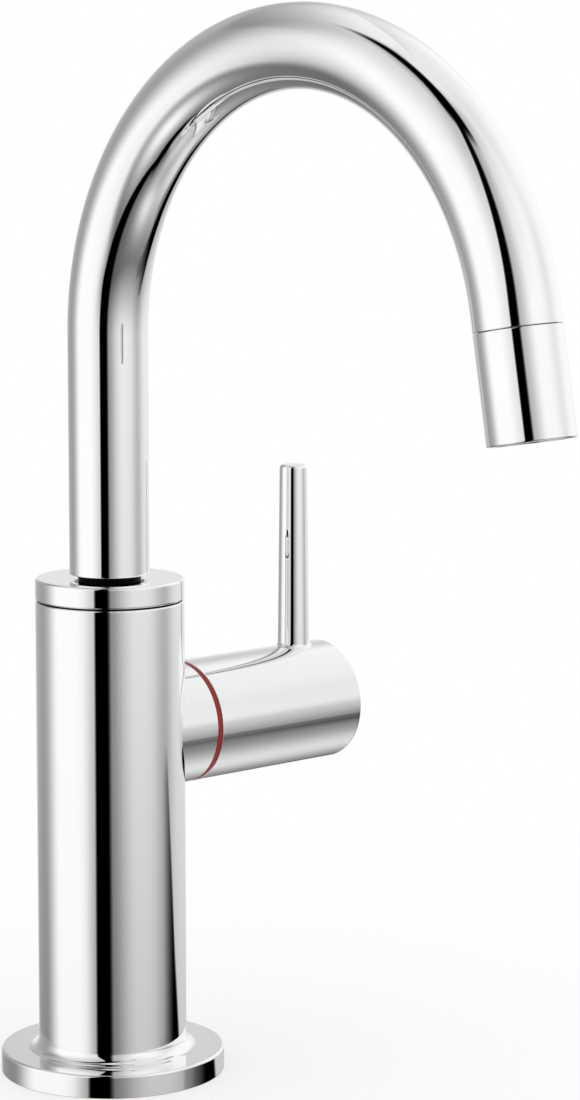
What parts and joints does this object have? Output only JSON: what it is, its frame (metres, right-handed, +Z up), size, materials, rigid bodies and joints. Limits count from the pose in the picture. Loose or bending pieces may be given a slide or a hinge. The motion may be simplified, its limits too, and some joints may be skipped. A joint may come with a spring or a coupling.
{
  "type": "instant hot water faucet",
  "caption": "Slim deck-mounted instant hot water faucet with a round column, gooseneck swivel spout, side lever handle and red indicator ring.",
  "frame": {"origin": "centre of the column on the underside of the flange, where it stands on the deck", "axes": "+Z up along the column, -Y towards the outlet of the spout at rest, +X along the handle's barrel"},
  "size_m": [0.0959, 0.173, 0.3455],
  "materials": {
    "polished_chrome": "mirror polished chrome plate",
    "turned_brass": "turned, unplated",
    "copper_tube": "drawn copper, bright",
    "stainless_steel": "plain stainless",
    "white_ceramic": "lapped alumina",
    "black_rubber": "moulded, matt",
    "black_acetal": "moulded, satin",
    "white_acetal": "moulded, satin",
    "grey_acetal": "moulded, satin",
    "red_indicator": "dark red, glossy"
  },
  "bodies": {
    "base": {"body_shell": "polished_chrome", "cartridge_base_seal": "black_rubber", "cartridge_housing": "turned_brass", "cartridge_nut": "turned_brass", "cold_inlet_tube": "copper_tube", "deck_gasket": "black_rubber", "fixed_ceramic_disc": "white_ceramic", "hot_indicator_ring": "red_indicator", "hot_return_tube": "copper_tube", "housing_seal_ring": "black_rubber", "mounting_nut": "turned_brass", "mounting_shank": "turned_brass", "rubber_washer": "black_rubber", "side_hub": "polished_chrome", "spout_bush": "black_acetal", "steel_washer": "stainless_steel", "tank_feed_tube": "copper_tube", "top_cap": "polished_chrome", "tube_spacer": "black_acetal", "valve_core": "turned_brass"},
    "handle": {"cartridge_stem": "turned_brass", "handle_adapter": "white_acetal", "handle_set_screw": "stainless_steel", "lever_handle": "polished_chrome", "moving_ceramic_disc": "white_ceramic", "stem_retaining_clip": "stainless_steel", "stem_seal_rings": "black_rubber"},
    "spout": {"flow_straightener": "grey_acetal", "outlet_nipple": "turned_brass", "outlet_screen": "stainless_steel", "outlet_sleeve": "polished_chrome", "outlet_washer": "black_rubber", "spigot_seal_rings": "black_rubber", "spout_retaining_clip": "stainless_steel", "spout_spigot": "turned_brass", "spout_tube": "polished_chrome"}
  },
  "joints": [
    {"name": "spout_swivel", "type": "hinge", "parent": "base", "child": "spout", "pos_m": [0, 0, 0.1], "axis": [0, 0, 1], "continuous": true},
    {"name": "handle_turn", "type": "hinge", "parent": "base", "child": "handle", "pos_m": [0, 0, 0.0821], "axis": [1, 0, 0], "range_deg": [0, 90]}
  ]
}
